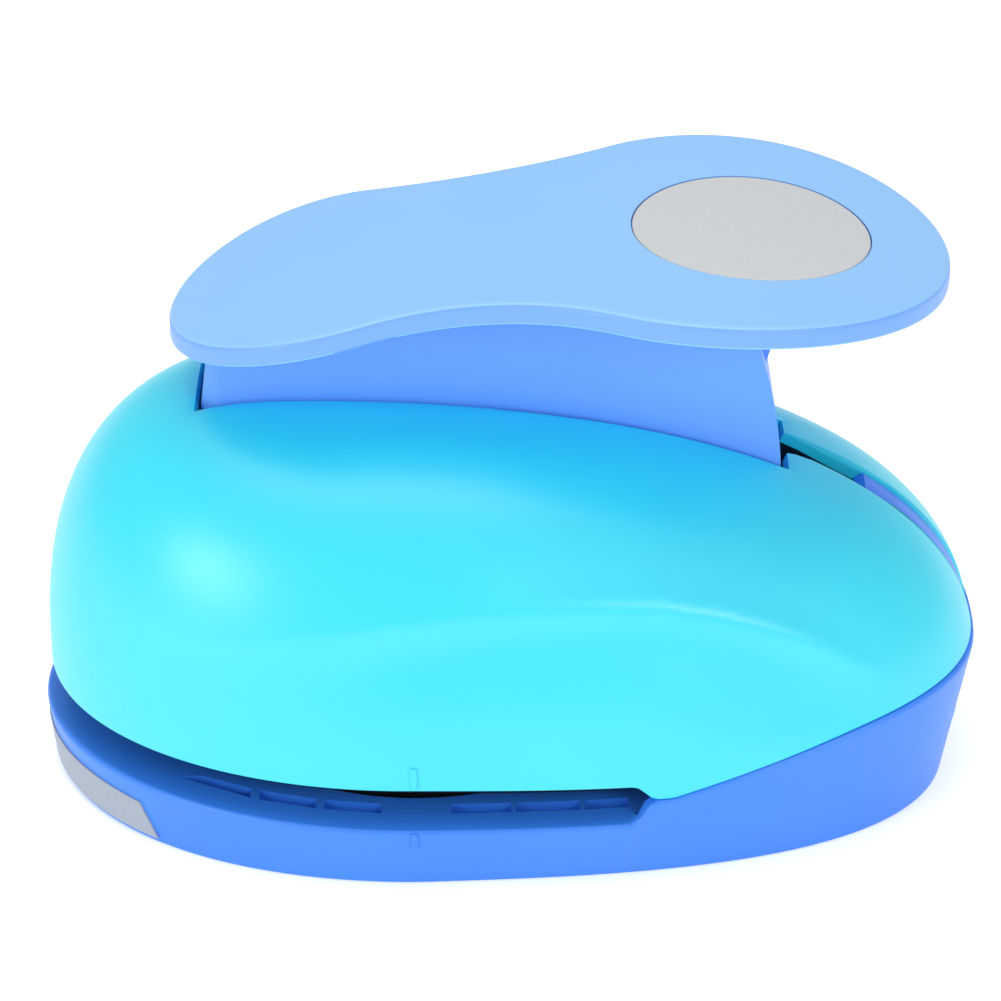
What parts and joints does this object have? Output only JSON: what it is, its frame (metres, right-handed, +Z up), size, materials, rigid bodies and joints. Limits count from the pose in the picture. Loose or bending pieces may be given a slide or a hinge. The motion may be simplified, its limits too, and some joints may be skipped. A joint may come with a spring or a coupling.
{
  "type": "lever craft punch",
  "caption": "Hand craft punch with a domed cover over an open paper throat, and a long arched lever handle that presses a round cutter through a steel die.",
  "frame": {"origin": "centre of the overall footprint, on the surface the base rests on", "axes": "+X runs from the nose to the rear, +Y across, +Z up"},
  "size_m": [0.1647, 0.0984, 0.101],
  "materials": {
    "pad_blue": "satin",
    "arm_blue": "satin",
    "base_blue": "satin",
    "cover_aqua": "satin",
    "grey_inlay": "satin",
    "bush_nylon": "satin",
    "ground_steel": "ground",
    "zinc_plate": "zinc plated",
    "cast_zinc": "die cast"
  },
  "bodies": {
    "root": {"base_shell": "base_blue", "rear_spine": "base_blue", "cover_shell": "cover_aqua", "front_label": "grey_inlay", "die_plate": "ground_steel", "paper_stop": "zinc_plate", "guide_plate": "ground_steel", "die_screws": "zinc_plate", "guide_posts": "ground_steel", "return_springs": "zinc_plate", "fulcrum_bracket": "ground_steel", "bracket_screws": "zinc_plate", "pivot_pin": "ground_steel", "pivot_clips": "zinc_plate", "cover_screws": "zinc_plate", "nose_screws": "zinc_plate"},
    "handle": {"handle_pad": "pad_blue", "handle_disc": "grey_inlay", "lever_arm": "arm_blue", "press_pin": "ground_steel", "pad_screws": "zinc_plate"},
    "punch": {"punch_cutter": "ground_steel", "punch_bridge": "cast_zinc", "bridge_screws": "zinc_plate", "guide_bushes": "bush_nylon"}
  },
  "joints": [
    {"name": "handle_press", "type": "hinge", "parent": "root", "child": "handle", "pos_m": [-0.041, 0, 0.054], "axis": [0, 1, 0], "range_deg": [0, 18], "stiffness_Nm_per_rad": 2, "springref_deg": -14.32},
    {"name": "punch_travel", "type": "slide", "parent": "root", "child": "punch", "axis": [0, 0, -1], "range_m": [0, 0.00802], "deforming": ["return_springs"]}
  ],
  "couplings": [
    {"joint": "punch_travel", "follows": "handle_press", "m_per_rad": 0.0255}
  ]
}
